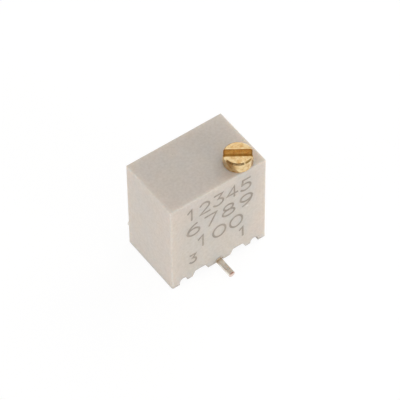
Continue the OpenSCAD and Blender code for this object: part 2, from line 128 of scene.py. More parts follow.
def add_node(
    tree: Tree, kind: str, inputs: dict[str | int, Any] | None = None, **settings: Any
) -> bpy.types.Node:
    """Adds one node with its settings and links.

    Args:
        tree: The node tree to add to.
        kind: The node's type without its first word, such as "TexNoise".
        inputs: Input names or places, each with a value or another node's output to link.
        **settings: Properties of the node.

    Returns:
        The new node.
    """
    node = tree.nodes.new(f"ShaderNode{kind}")
    for name, value in settings.items():
        setattr(node, name, value)
    for place, value in (inputs or {}).items():
        if isinstance(value, Socket):
            tree.links.new(value, node.inputs[place])
        else:
            node.inputs[place].default_value = value
    return node


def work_out(tree: Tree, sums: dict[str, Sequence[Any]]) -> dict[str, Socket]:
    """Works out a run of named sums, each from numbers, outputs and the sums before it.

    Args:
        tree: The node tree to add to.
        sums: Each sum's operation and what it takes: a number, an output, or the name of an
            earlier sum.

    Returns:
        The result of each sum.
    """
    done: dict[str, Socket] = {}
    for name, (operation, *values) in sums.items():
        taken = [done[value] if isinstance(value, str) else value for value in values]
        node = add_node(tree, "Math", dict(enumerate(taken)), operation=operation)
        done[name] = node.outputs[0]
    return done


def add_object(name: str, data: bpy.types.ID) -> bpy.types.Object:
    """Adds one object to the scene.

    Args:
        name: Its name.
        data: Its mesh, its lens or its lamp.

    Returns:
        The new object.
    """
    thing = bpy.data.objects.new(name, data)
    bpy.context.scene.collection.objects.link(thing)
    return thing


# ---- what a finish is made of


@dataclass(frozen=True)
class Pattern:
    """A random pattern in a surface, such as its grain, its clouds or its stains.

    Attributes:
        size_mm: Width of one patch.
        detail: How many finer patterns are laid into it.
        stretch: Scale of the place along X, Y and Z; less than 1 draws the pattern out.
        harshness: How strong the finer patterns are.
    """

    size_mm: float
    detail: float = 2.0
    stretch: Triple = (1.0, 1.0, 1.0)
    harshness: float = 0.55

    def lay(self, tree: Tree, place: Socket) -> Socket:
        """Lays the pattern on a surface.

        Args:
            tree: The material's node tree.
            place: The point's place on the piece, in metres.

        Returns:
            The pattern, mostly between 0.3 and 0.7.
        """
        at = add_node(tree, "Mapping", {"Vector": place, "Scale": self.stretch})
        noise = {"Scale": per_mm(self.size_mm), "Detail": self.detail, "Roughness": self.harshness}
        return add_node(tree, "TexNoise", {"Vector": at.outputs[0], **noise}).outputs["Fac"]

    def tones(self, tree: Tree, place: Socket, tones: tuple[str, str], span: Point) -> Socket:
        """Lays the pattern on a surface in two tones.

        Args:
            tree: The material's node tree.
            place: The point's place on the piece, in metres.
            tones: Tone of the pattern's hollows and of its crests, sRGB hex.
            span: Where in the pattern the change starts and ends.

        Returns:
            The colour.
        """
        ramp = add_node(tree, "ValToRGB", {"Fac": self.lay(tree, place)})
        for element, start, tone in zip(ramp.color_ramp.elements, span, tones):
            element.position = start
            element.color = to_linear(tone)
        return ramp.outputs["Color"]


@dataclass(frozen=True)
class Film:
    """Another tone over a surface, which comes in as some measure changes.

    Attributes:
        tone: Its colour, sRGB hex.
        span: The measure at which there is none, and that at which it is at its thickest.
        share: How much of the surface it hides there, from 0 to 1.
    """

    tone: str
    span: Point
    share: float = 1.0

    def measure(self, tree: Tree, place: Socket) -> Socket:
        """Gives the measure that this kind of film follows."""
        raise NotImplementedError

    def lay(self, tree: Tree, place: Socket, under: Socket) -> Socket:
        """Lays the film over a surface.

        Args:
            tree: The material's node tree.
            place: The point's place on the piece, in metres.
            under: The colour under it.

        Returns:
            The colour with the film.
        """
        measure, (bare, full) = self.measure(tree, place), self.span
        reach = {"Value": measure, "From Min": bare, "From Max": full, "To Max": self.share}
        cover = add_node(tree, "MapRange", reach).outputs["Result"]
        mix = {0: cover, 6: under, 7: to_linear(self.tone)}
        return add_node(tree, "Mix", mix, data_type="RGBA").outputs[2]


@dataclass(frozen=True)
class Band(Film):
    """A film that follows the distance from the board, or from the part's middle."""

    axis: Axis = Axis.UP

    def measure(self, tree: Tree, place: Socket) -> Socket:
        """Gives the distance along the band's axis, in metres."""
        part = add_node(tree, "SeparateXYZ", {0: place}).outputs[self.axis.value]
        return work_out(tree, {"reach": ("ABSOLUTE", part)})["reach"]


@dataclass(frozen=True)
class Specks(Film):
    """Specks that follow a pattern of their own."""

    pattern: Pattern = Pattern(0.15)

    def measure(self, tree: Tree, place: Socket) -> Socket:
        """Gives the pattern."""
        return self.pattern.lay(tree, place)


@dataclass(frozen=True)
class Flecks(Film):
    """Single flecks, each at a random place in its own cell, which is cell_mm wide."""

    cell_mm: float = 1.3

    def measure(self, tree: Tree, place: Socket) -> Socket:
        """Gives the distance from the nearest fleck, as a share of a cell."""
        cells = {"Vector": place, "Scale": per_mm(self.cell_mm)}
        return add_node(tree, "TexVoronoi", cells).outputs["Distance"]


@dataclass(frozen=True)
class Spot(Film):
    """One spot round at_mm; stretch says how much each axis counts in the distance."""

    at_mm: Triple = (0.0, 0.0, 0.0)
    stretch: Triple = (1.0, 1.0, 1.0)

    def measure(self, tree: Tree, place: Socket) -> Socket:
        """Measures the distance from the spot's middle.

        Args:
            tree: The material's node tree.
            place: The point's place on the piece, in metres.

        Returns:
            The distance, in metres.
        """
        back = [-at * s * MM for at, s in zip(self.at_mm, self.stretch)]
        moved = {0: place, 1: self.stretch, 2: back}
        away = add_node(tree, "VectorMath", moved, operation="MULTIPLY_ADD").outputs[0]
        return add_node(tree, "VectorMath", {0: away}, operation="LENGTH").outputs["Value"]


# ---- finishes


@dataclass(frozen=True)
class Finish:
    """A surface finish in two tones. Each kind says how the real surface was made.

    Attributes:
        name: The material's name.
        colour: Main tone, sRGB hex.
        second: The tone that it changes to, sRGB hex.
        roughness: Roughness of the shader.
        metallic: 1 for a metal.
        ior: Index of refraction, or None to keep the default, as metals do.
        mottle: The pattern that the two tones follow.
        span: Where in that pattern the change of tone starts and ends.
        films: What lies over the two tones.
        wear: The pattern of smooth and dull places, or None where there is none.
        wear_span: Where in that pattern the change starts and ends.
        wear_change: How much the roughness changes in the smooth and in the dull places.
        texture: The pattern of the relief, or None where there is none.
        depth_mm: Depth of the relief.
    """

    name: str
    colour: str
    second: str
    roughness: float
    metallic: float = 0.0
    ior: float | None = None
    mottle: Pattern = Pattern(0.3)
    span: Point = (0.35, 0.65)
    films: tuple[Film, ...] = ()
    wear: Pattern | None = None
    wear_span: Point = (0.3, 0.7)
    wear_change: Point = (0.0, 0.1)
    texture: Pattern | None = None
    depth_mm: float = 0.0

    def constants(self) -> dict[str, Any]:
        """Gives the shader's values that are the same all over the surface."""
        values = {"Base Color": to_linear(self.colour), "Roughness": self.roughness}
        values |= {} if self.ior is None else {"IOR": self.ior}
        return values | {"Metallic": self.metallic}

    def place(self, tree: Tree) -> Socket:
        """Gives the point's place on the piece, in metres."""
        return add_node(tree, "TexCoord").outputs["Object"]

    def grooves(self, tree: Tree, place: Socket) -> dict[str, Socket]:
        """Gives what the relief lies on, under its input's name. Most finishes have nothing."""
        return {}

    def lay_up(self, tree: Tree, place: Socket) -> dict[str, Socket]:
        """Lays up what changes over the surface.

        Args:
            tree: The material's node tree.
            place: The point's place on the piece, in metres.

        Returns:
            Each input of the shader that changes, with its output.
        """
        colour = self.mottle.tones(tree, place, (self.colour, self.second), self.span)
        for film in self.films:
            colour = film.lay(tree, place, colour)
        laid = {"Base Color": colour}
        if self.wear is not None:
            wear, (start, end) = self.wear.lay(tree, place), self.wear_span
            smooth, dull = (self.roughness + change for change in self.wear_change)
            levels = {"Value": wear, "From Min": start, "From Max": end}
            levels |= {"To Min": smooth, "To Max": dull}
            laid["Roughness"] = add_node(tree, "MapRange", levels).outputs["Result"]
        if self.texture is not None:
            relief = {"Height": self.texture.lay(tree, place), "Distance": self.depth_mm * MM}
            relief |= self.grooves(tree, place)
            laid["Normal"] = add_node(tree, "Bump", relief).outputs["Normal"]
        return laid

    def build(self) -> bpy.types.Material:
        """Builds the material.

        Returns:
            The material, with its constants set and its sockets linked.
        """
        material = bpy.data.materials.new(self.name)
        material.use_nodes = True
        tree = material.node_tree
        inputs = tree.nodes["Principled BSDF"].inputs
        for name, value in self.constants().items():
            inputs[name].default_value = value
        for name, output in self.lay_up(tree, self.place(tree)).items():
            tree.links.new(output, inputs[name])
        return material


@dataclass(frozen=True)
class MouldedThermoplastic(Finish):
    """Mineral-filled thermoplastic, injection moulded in a spark-eroded tool.

    The eroded tool leaves a fine matt grain that kills any mirror image, and the filler
    leaves specks and faint cool and warm clouds, with a rare dark fleck of charred resin.
    Light goes a short way into it, red the furthest, so its edges glow a little and look
    warmer. A tool has left one small pale rub on the front face.

    Attributes:
        glow_share: Share of the light that goes into the plastic.
        glow_mm: How far it goes.
        glow_reach: How far red, green and blue go, as shares of that.
    """

    ior: float = 1.5
    mottle: Pattern = Pattern(1.6)
    span: Point = (0.25, 0.75)
    films: tuple[Film, ...] = (
        Specks("#b4aa9e", (0.3, 0.7), 0.3),
        Flecks("#a39a8e", (0.02, 0.012)),
        Spot("#ece7df", (0.15 * MM, 0.05 * MM), at_mm=(2.0, -2.2, 3.86), stretch=(1.0, 1.0, 2.6)),
    )
    # Its grain is drawn coarser than the real 0.02 mm of the erosion, which is too fine to show
    wear: Pattern = Pattern(0.06)
    wear_change: Point = (-0.05, 0.07)
    texture: Pattern = Pattern(0.06)
    depth_mm: float = 0.004
    glow_share: float = 0.45
    glow_mm: float = 1.4
    glow_reach: Triple = (1.0, 0.7, 0.5)

    def constants(self) -> dict[str, Any]:
        """Gives the shader's values that are the same all over the surface."""
        return super().constants() | {
            "Subsurface Weight": self.glow_share,
            "Subsurface Radius": self.glow_reach,
            "Subsurface Scale": self.glow_mm * MM,
        }


@dataclass(frozen=True)
class TurnedBrass(Finish):
    """Free-cutting brass, turned from bar with a sawn slot and left bright.

    The tool leaves rings round the axis, so the mirror image breaks into fine streaks, and
    handling leaves dents, and patches that are a little redder and duller. A dark brown
    painted shade lies along the slot's foot and darkens its two open ends.

    Attributes:
        axis_mm: Where the screw's axis stands, along X and Y.
        ring_mm: From one ring of the tool to the next.
        ring_depth_mm: Depth of the rings.
        waver: How much the rings waver.
        feed_stretch: How far the rings draw out a highlight, from 0 to 1.
        slot_foot_mm: Height of the slot's foot above the board.
        slot_w_mm: Width of the slot.
        slot_depth_mm: Depth of the slot.
        slot_turn: Direction of the slot, in degrees from X.
        slot_edge_mm: How far off a face may lie and still count as sawn.
        sawn: The two tones of the sawn faces, sRGB hex.
        sawn_span: Where in the dents those two change.
        painted_shade: Tone of the painted shade in the slot, sRGB hex.
        shade_line_mm: How far the painted shade reaches over the slot's foot, and up its walls.
        shade_thick: Share of those reaches at which it is at its darkest.
        shade_ends_mm: Distances from the axis at which the ends' painted shade starts and is
            darkest.
        shade_ends_share: How much of the metal it hides there.
    """

    metallic: float = 1.0
    mottle: Pattern = Pattern(0.32, 3.0)
    span: Point = (0.43, 0.75)
    wear: Pattern = Pattern(0.32, 3.0)
    texture: Pattern = Pattern(0.22)
    depth_mm: float = 0.003
    axis_mm: Point = (0.0, 0.0)
    # Drawn coarser than the real 0.03 mm feed of the lathe
    ring_mm: float = 0.07
    ring_depth_mm: float = 0.0012
    waver: float = 1.5
    feed_stretch: float = 0.4
    slot_foot_mm: float = 0.0
    slot_w_mm: float = 0.55
    slot_depth_mm: float = 0.52
    slot_turn: float = -35.0
    slot_edge_mm: float = 0.004
    sawn: tuple[str, str] = ("#e5d0a5", "#d7b686")
    sawn_span: Point = (0.4, 0.65)
    # The slot's foot and its two open ends are painted darker with this tone, as shade
    painted_shade: str = "#ad8b54"
    shade_line_mm: Point = (0.11, 0.015)
    shade_thick: float = 0.7
    shade_ends_mm: Point = (0.74, 0.8)
    shade_ends_share: float = 0.45

    def constants(self) -> dict[str, Any]:
        """Gives the shader's values that are the same all over the surface."""
        return super().constants() | {"Anisotropic": self.feed_stretch}

    def place(self, tree: Tree) -> Socket:
        """Gives the point's place from the screw's axis, in metres."""
        inputs = {0: super().place(tree), 1: [at * MM for at in (*self.axis_mm, 0.0)]}
        return add_node(tree, "VectorMath", inputs, operation="SUBTRACT").outputs[0]

    def grooves(self, tree: Tree, place: Socket) -> dict[str, Socket]:
        """Cuts the tool's rings.

        Args:
            tree: The material's node tree.
            place: The point's place from the screw's axis, in metres.

        Returns:
            The normal that the dents lie on, under its input's name.
        """
        wave = {
            "Vector": place,
            # The wave has two pi radians for each twenty units of its scale
            "Scale": per_mm(self.ring_mm) * math.tau / 20,
            "Distortion": self.waver,
            "Detail": 2.0,
            "Detail Scale": 2.0,
        }
        rings = add_node(tree, "TexWave", wave, wave_type="RINGS", rings_direction="SPHERICAL")
        relief = {"Height": rings.outputs["Fac"], "Distance": self.ring_depth_mm * MM}
        return {"Normal": add_node(tree, "Bump", relief).outputs["Normal"]}

    def slot_shares(self, tree: Tree, place: Socket) -> tuple[Socket, Socket]:
        """Finds the slot's own faces, and the painted shade along its foot and at its two open
        ends.

        Args:
            tree: The material's node tree.
            place: The point's place from the screw's axis, in metres.

        Returns:
            The share of sawn face, which is 0 or 1, and the share of painted shade, from 0 to 1.
        """
        half, edge = self.slot_w_mm / 2 * MM, self.slot_edge_mm * MM
        turn = math.radians(self.slot_turn)
        parts = add_node(tree, "SeparateXYZ", {0: place}).outputs
        flat = add_node(tree, "CombineXYZ", {"X": parts["X"], "Y": parts["Y"]}).outputs[0]
        away = add_node(tree, "VectorMath", {0: flat}, operation="LENGTH").outputs["Value"]
        slot = work_out(
            tree,
            {
                "along y": ("MULTIPLY", parts["Y"], math.cos(turn)),
                "along x": ("MULTIPLY", parts["X"], math.sin(turn)),
                "off middle": ("SUBTRACT", "along y", "along x"),
                "across": ("ABSOLUTE", "off middle"),
                "rise": ("SUBTRACT", parts["Z"], self.slot_foot_mm * MM),
                "between": ("LESS_THAN", "across", half + edge),
                "above foot": ("GREATER_THAN", "rise", -edge),
                "below rim": ("LESS_THAN", "rise", self.slot_depth_mm * MM - edge),
                "upward": ("MULTIPLY", "between", "above foot"),
                "sawn": ("MULTIPLY", "upward", "below rim"),
                "off wall": ("SUBTRACT", "across", half),
                "from wall": ("ABSOLUTE", "off wall"),
                "over foot": ("DIVIDE", "from wall", self.shade_line_mm[0] * MM),
                "up wall": ("DIVIDE", "rise", self.shade_line_mm[1] * MM),
                "corner": ("ADD", "over foot", "up wall"),
            },
        )
        # Painted shade: a dark line along the slot's foot, and darker open ends
        shade_shares = []
        for measure, bare, full, share in (
            (slot["corner"], 1.0, self.shade_thick, 1.0),
            (away, self.shade_ends_mm[0] * MM, self.shade_ends_mm[1] * MM, self.shade_ends_share),
        ):
            reach = {"Value": measure, "From Min": bare, "From Max": full, "To Max": share}
            shade_shares.append(add_node(tree, "MapRange", reach).outputs["Result"])
        sums = {"most": ("MAXIMUM", *shade_shares), "painted_shade": ("MULTIPLY", "most", slot["sawn"])}
        return slot["sawn"], work_out(tree, sums)["painted_shade"]

    def lay_up(self, tree: Tree, place: Socket) -> dict[str, Socket]:
        """Lays up the stained and dented metal, its sawn faces, the painted shade and the streaks.

        Args:
            tree: The material's node tree.
            place: The point's place from the screw's axis, in metres.

        Returns:
            Each input of the shader that changes, with its output.
        """
        laid = super().lay_up(tree, place)
        up = {0: (0.0, 0.0, 1.0), 1: place}
        laid["Tangent"] = add_node(tree, "VectorMath", up, operation="CROSS_PRODUCT").outputs[0]
        sawn, painted_shade = self.slot_shares(tree, place)
        sawn_metal = self.texture.tones(tree, place, self.sawn, self.sawn_span)
        for share, tone in ((sawn, sawn_metal), (painted_shade, to_linear(self.painted_shade))):
            mix = {0: share, 6: laid["Base Color"], 7: tone}
            laid["Base Color"] = add_node(tree, "Mix", mix, data_type="RGBA").outputs[2]
        return laid


@dataclass(frozen=True)
class PlatedWire(Finish):
    """Drawn copper wire, plated with matt tin.

    Drawing leaves faint lines along the wire, and the tin is a soft, slightly warm grey
    that mirrors its surroundings without any sharp image. For a short way out of the
    housing each wire is painted brown: a painted reflection of the housing's shaded face.

    Attributes:
        flux_and_reflection: Tone of the painted reflection near the housing, sRGB hex.
        reflection_reach_mm: How far the painted reflection reaches along the wire.
        reflection_share: How much of the tin it hides at the face.
    """

    metallic: float = 1.0
    wear: Pattern = Pattern(0.3)
    # Drawn coarser than the die's real lines of 0.01 mm, which are too fine to show
    texture: Pattern = Pattern(0.05, stretch=(1.0, 0.08, 1.0))
    depth_mm: float = 0.0015
    # Painted reflection: the wire is painted brown near the housing, as its shaded face mirrored
    flux_and_reflection: str = "#c2ab8b"
    reflection_reach_mm: float = 0.3
    reflection_share: float = 0.9

    def with_reflection_at(self, face_mm: float) -> "PlatedWire":
        """Gives the wire with a painted reflection from the housing's face, face_mm from its
        middle.
        """
        span = ((face_mm + self.reflection_reach_mm) * MM, face_mm * MM)
        return replace(self, films=(Band(self.flux_and_reflection, span, self.reflection_share, Axis.OUT),))


@dataclass(frozen=True)
class ShearedCopper(Finish):
    """Bare copper where a plated wire was cropped.

    The face is darker towards its top, in a brown band; below it the wire tore off in a
    pale pink, satin face with a smear of the tin.
    """

    metallic: float = 1.0
    # Drawn coarser than the real torn dimples of 0.02 mm, which are too fine to show
    mottle: Pattern = Pattern(0.06, 3.0)
    span: Point = (0.35, 0.6)
    # A brown band over the top of the face
    films: tuple[Film, ...] = (Band("#a87c69", (0.27 * MM, 0.34 * MM)),)
    texture: Pattern = Pattern(0.06, 3.0)
    depth_mm: float = 0.004


@dataclass(frozen=True)
class FluxResidue(Finish):
    """Set rosin flux: a thin, glossy, amber-brown film that is darker where it pools."""

    ior: float = 1.53
    mottle: Pattern = Pattern(0.12)
    span: Point = (0.35, 0.7)


@dataclass(frozen=True)
class LaserMark(Finish):
    """Plastic charred by a marking laser: a grey-brown line that is fainter in places."""

    ior: float = 1.5
    span: Point = (0.4, 0.68)


@dataclass(frozen=True)
class MouldedNylon(Finish):
    """Natural nylon, moulded in a polished tool: milky and waxy, with a soft highlight."""

    ior: float = 1.53
    mottle: Pattern = Pattern(0.8)
    texture: Pattern = Pattern(0.08, 3.0)
    depth_mm: float = 0.001


@dataclass(frozen=True)
class SiliconeRubber(Finish):
    """Moulded silicone rubber of the seal ring: dull, brick red, with a faint bloom of talc."""

    ior: float = 1.41
    mottle: Pattern = Pattern(0.15, 3.0)


@dataclass(frozen=True)
class StampedMetal(Finish):
    """Rolled strip, stamped to shape: satin, with faint lines along the rolling direction."""

    metallic: float = 1.0
    # Drawn coarser than the real rolling lines of 0.01 mm, which are too fine to show
    mottle: Pattern = Pattern(0.06, stretch=(0.1, 1.0, 1.0))
    span: Point = (0.3, 0.8)
    texture: Pattern = Pattern(0.06, stretch=(0.1, 1.0, 1.0))
    depth_mm: float = 0.001


@dataclass(frozen=True)
class SetSolder(StampedMetal):
    """Tin solder that has set: satin, with faint lines where it shrank."""


@dataclass(frozen=True)
class FiredCeramic(Finish):
    """Pressed alumina or a fired film on it: matt, with the fine pits of sintering.

    The main tone is that of the pits, and the second is that of the face between them.
    """

    # Drawn coarser than the real pits of 0.01 mm, which are too fine to show
    mottle: Pattern = Pattern(0.07, 3.0)
    span: Point = (0.3, 0.5)
    texture: Pattern = Pattern(0.07, 3.0)
    depth_mm: float = 0.003


@dataclass(frozen=True)
class CastEpoxy(Finish):
    """Epoxy potting, poured and cured: olive drab, glossy, with a slow ripple."""

    ior: float = 1.55
    mottle: Pattern = Pattern(0.4)
    texture: Pattern = Pattern(0.9, 1.0)
    depth_mm: float = 0.03


@dataclass(frozen=True)
class Felt(Finish):
    """Pressed wool felt of a studio card: dull, so that it mirrors nothing of its own."""


# ---- sub-assemblies


def dress(node: str, material: bpy.types.Material) -> None:
    """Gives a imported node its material.

    Args:
        node: The node's name.
        material: Its finish.
    """
    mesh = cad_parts[node].data
    mesh.materials.clear()
    mesh.materials.append(material)
    LOG.info("dressed %s with %s", node, material.name)


def skin(
    mesh: bmesh.types.BMesh,
    loops: Sequence[list[bmesh.types.BMVert]],
    tip: bmesh.types.BMVert | None = None,
) -> None:
    """Joins loops of points into one closed skin.

    Args:
        mesh: The mesh that the points are in.
        loops: The loops in order, each with as many points.
        tip: The point that the last loop closes to, or None to close it flat.
    """
    for near, far in zip(loops, loops[1:]):
        for i, point in enumerate(near):
            j = (i + 1) % len(near)
            mesh.faces.new((point, near[j], far[j], far[i]))
    mesh.faces.new(loops[0])
    last = loops[-1]
    if tip is None:
        mesh.faces.new(list(reversed(last)))
        return
    for i, point in enumerate(last):
        mesh.faces.new((point, last[(i + 1) % len(last)], tip))


def add_piece(
    name: str,
    mesh: bmesh.types.BMesh,
    material: bpy.types.Material,
    smooth: bool = False,
) -> None:
    """Turns a built mesh into a piece that rides on the base.

    Args:
        name: The piece's name.
        mesh: Its shape, in metres, where it stands on the part. It is freed here.
        material: Its finish.
        smooth: Whether its faces are shaded as one curved surface.
    """
    data = bpy.data.meshes.new(name)
    bmesh.ops.recalc_face_normals(mesh, faces=mesh.faces)
    mesh.to_mesh(data)
    mesh.free()
    data.materials.append(material)
    for face in data.polygons:
        face.use_smooth = smooth
    piece = add_object(name, data)
    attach(piece, BASE)
    LOG.info("built %s with %d faces", name, len(data.polygons))


def arc(centre: Point, radii: Point, start: float, end: float, steps: int = 14) -> list[Point]:
    """Gives the points of an elliptical arc.

    Args:
        centre: The ellipse's centre.
        radii: Its half width and half height.
        start: First angle, in degrees.
        end: Last angle, in degrees.
        steps: Number of chords.

    Returns:
        The points from the first angle to the last.
    """
    turns = [math.radians(start + (end - start) * i / steps) for i in range(steps + 1)]
    return [(centre[0] + radii[0] * math.cos(t), centre[1] + radii[1] * math.sin(t)) for t in turns]


# The strokes of each figure, as a marking laser draws them, in a cell that is 1 high
FIGURES: dict[str, list[list[Point]]] = {
    "0": [arc((0.33, 0.5), (0.33, 0.5), 90, 450, 28)],
    "1": [[(0.12, 0.76), (0.36, 1.0), (0.36, 0.0)]],
    "2": [arc((0.31, 0.7), (0.29, 0.3), 160, -35) + [(0.02, 0.0), (0.64, 0.0)]],
    "3": [[(0.06, 1.0), (0.58, 1.0), (0.3, 0.6)] + arc((0.29, 0.3), (0.32, 0.3), 80, -150)],
    "4": [[(0.46, 0.0), (0.46, 1.0), (0.0, 0.3), (0.66, 0.3)]],
    "5": [[(0.6, 1.0), (0.14, 1.0), (0.08, 0.55)] + arc((0.3, 0.31), (0.33, 0.31), 130, -150)],
    "6": [arc((0.7, 0.3), (0.68, 0.7), 105, 180) + arc((0.33, 0.3), (0.31, 0.3), 180, 540, 24)],
    "7": [[(0.0, 1.0), (0.62, 1.0), (0.22, 0.0)]],
    "8": [
        arc((0.32, 0.76), (0.25, 0.24), -90, 270, 20)
        + arc((0.32, 0.26), (0.32, 0.26), 90, 450, 24)
    ],
    "9": [arc((-0.04, 0.7), (0.68, 0.7), -75, 0) + arc((0.33, 0.7), (0.31, 0.3), 0, 360, 24)],
}


@dataclass(frozen=True)
class MarkRow:
    """One row of marked figures on the front face.

    Attributes:
        name: The piece's name.
        figures: The figures, from left to right.
        left_mm: Where the first figure starts.
        base_mm: Height of the row's foot above the board.
        pitch_mm: From one figure to the next.
        height_mm: Height of a figure.
        breadth: How much wider than the plain cell its figures are drawn.
    """

    name: str
    figures: str
    left_mm: float
    base_mm: float
    pitch_mm: float
    height_mm: float
    breadth: float = 1.2

    def strokes(self) -> Iterable[list[Point]]:
        """Lays out the row's strokes.

        Yields:
            The points of each stroke, across and up on the front face, in millimetres.
        """
        for i, figure in enumerate(self.figures):
            left = self.left_mm + i * self.pitch_mm
            for stroke in FIGURES[figure]:
                yield [
                    (left + x * self.height_mm * self.breadth, self.base_mm + z * self.height_mm)
                    for x, z in stroke
                ]


@dataclass
class Marking:
    """The plain figures that a laser marks on the front face.

    Attributes:
        front_mm: The front face's place along Y.
        stroke_mm: Width of a stroke.
        stand_mm: How far the charred line swells out of the face.
        sink_mm: How deep it is rooted.
        run_on: How far a stroke runs on past its last point, as a share of half its width.
        tip_share: Width of a stroke at its tips, as a share of its own.
        mitre_share: The least share of a corner's bisector that widens a stroke there.
        finish: The charred plastic.
        rows: The rows.
    """

    front_mm: float
    stroke_mm: float = 0.14
    stand_mm: float = 0.003
    sink_mm: float = 0.004
    run_on: float = 0.6
    tip_share: float = 0.55
    mitre_share: float = 0.55
    finish: LaserMark = LaserMark("laser_mark", "#9e958b", "#afa59a", 0.7)
    rows: tuple[MarkRow, ...] = (
        MarkRow("mark_row_upper", "12345", -2.3, 5.38, 0.96, 0.93),
        MarkRow("mark_row_middle", "6789", -2.22, 3.97, 1.24, 0.95, 1.38),
        MarkRow("mark_row_lower", "100", -1.62, 2.52, 1.2, 0.95, 1.4),
        MarkRow("mark_terminal_3", "3", -2.1, 1.46, 1.0, 0.72, 1.05),
        MarkRow("mark_terminal_1", "1", 1.35, 1.33, 1.0, 0.8),
    )

    def outline(self, stroke: Sequence[Point]) -> tuple[list[Point], list[Point]]:
        """Gives a stroke's two edges.

        Args:
            stroke: The points along its middle, in millimetres.

        Returns:
            The left edge and the right edge, point by point. Both are drawn in at the ends.
        """
        half = self.stroke_mm / 2
        middle = [Vector(p) for p in stroke]
        first = (middle[1] - middle[0]).normalized()
        last = (middle[-1] - middle[-2]).normalized()
        reach = half * self.run_on
        middle = [middle[0] - first * reach, *middle, middle[-1] + last * reach]
        left, right = [], []
        for i, point in enumerate(middle):
            before = middle[max(i - 1, 0)]
            after = middle[min(i + 1, len(middle) - 1)]
            into = (point - before).normalized() if i else first
            out = (after - point).normalized() if i + 1 < len(middle) else last
            along = (into + out).normalized()
            side = Vector((-along.y, along.x))
            # A mitre is longer than half a stroke, up to a limit at the sharpest corners
            bisector = math.sqrt(max(0.0, (1 + into.dot(out)) / 2))
            stretch = 1 / max(self.mitre_share, bisector)
            width = half * (self.tip_share if i in (0, len(middle) - 1) else stretch)
            left.append(tuple(point + side * width))
            right.append(tuple(point - side * width))
        return left, right

    def add_stroke(self, mesh: bmesh.types.BMesh, stroke: Sequence[Point]) -> None:
        """Adds one closed ribbon, flat at the back and a little crowned at the front.

        Args:
            mesh: The row's mesh.
            stroke: The points along the stroke's middle, in millimetres.
        """
        back = (self.front_mm + self.sink_mm) * MM
        face = self.front_mm * MM
        crown = (self.front_mm - self.stand_mm) * MM
        loops = []
        for a, b in zip(*self.outline(stroke)):
            middle = ((a[0] + b[0]) / 2, (a[1] + b[1]) / 2)
            corners = [(a, back), (a, face), (middle, crown), (b, face), (b, back)]
            loops.append([mesh.verts.new((p[0] * MM, y, p[1] * MM)) for p, y in corners])
        skin(mesh, loops)

    def build(self) -> None:
        """Builds every row as one piece."""
        material = self.finish.build()
        for row in self.rows:
            mesh = bmesh.new()
            for stroke in row.strokes():
                self.add_stroke(mesh, stroke)
            add_piece(row.name, mesh, material)


@dataclass
class Housing:
    """The moulded housing with its marking, and the resin that closes it below."""

    plastic: MouldedThermoplastic = MouldedThermoplastic(
        "moulded_thermoplastic", "#d4cec8", "#d9cfc5", 0.58
    )
    resin: CastEpoxy = CastEpoxy("cast_epoxy", "#8c8a6a", "#9b9777", 0.18)

    def build(self) -> None:
        """Dresses the housing and the resin, and marks the front face."""
        dress("housing", self.plastic.build())
        dress("potting_resin", self.resin.build())
        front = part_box("housing")[0][1] / MM
        Marking(front_mm=front).build()


@dataclass
class ScrewDrive:
    """The adjusting screw with its seal and the clip that holds it."""

    brass: TurnedBrass = TurnedBrass("turned_brass", "#e8ce9e", "#c08f4c", 0.13)
    rubber: SiliconeRubber = SiliconeRubber("silicone_rubber", "#5a2f28", "#7a4a40", 0.65)
    clip: StampedMetal = StampedMetal("stamped_stainless_steel", "#b9b7b0", "#9c988f", 0.3)

    def build(self) -> None:
        """Dresses the screw, the ring and the clip."""
        low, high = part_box("adjusting_screw")
        brass = replace(
            self.brass,
            axis_mm=((low[0] + high[0]) / 2 / MM, (low[1] + high[1]) / 2 / MM),
            slot_foot_mm=high[2] / MM - self.brass.slot_depth_mm,
        )
        dress("adjusting_screw", brass.build())
        dress("screw_o_ring", self.rubber.build())
        dress("screw_retaining_clip", self.clip.build())


@dataclass
class WiperDrive:
    """The worm wheel and the wiper that is staked on it."""

    nylon: MouldedNylon = MouldedNylon("moulded_nylon", "#e8e2d2", "#ded6c4", 0.4)
    spring: StampedMetal = StampedMetal("stamped_spring_alloy", "#dcb66c", "#c9a35a", 0.25)

    def build(self) -> None:
        """Dresses the wheel and the wiper."""
        dress("worm_wheel", self.nylon.build())
        dress("wiper_spring", self.spring.build())


@dataclass
class Element:
    """The ceramic plate with its fired films."""

    alumina: FiredCeramic = FiredCeramic("fired_alumina", "#dedbd2", "#eceae4", 0.6)
    cermet: FiredCeramic = FiredCeramic("fired_cermet", "#2e2b27", "#3b3833", 0.5)
    silver: FiredCeramic = FiredCeramic("fired_silver", "#b5b3ac", "#d9d7d0", 0.4, 1.0)

    def build(self) -> None:
        """Dresses the plate, the track, the collector and the pads."""
        dress("element_substrate", self.alumina.build())
        dress("resistive_track", self.cermet.build())
        silver = self.silver.build()
        for node in ("collector_ring", "terminal_pad_1", "terminal_pad_3"):
            dress(node, silver)


@dataclass(frozen=True)
class WireEnd:
    """Where a lead leaves the housing and was cropped.

    Attributes:
        lead: The lead's node.
        side: The side that it leaves at.
    """

    lead: str
    side: Side

    def section(self) -> tuple[float, float, float, float]:
        """Finds the lead's round end.

        Returns:
            Its middle along X, its end along Y, its middle along Z, and its radius, in metres.
        """
        low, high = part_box(self.lead)
        radius = (high[0] - low[0]) / 2
        end = low[1] if self.side is Side.FRONT else high[1]
        return (low[0] + high[0]) / 2, end, low[2] + radius, radius


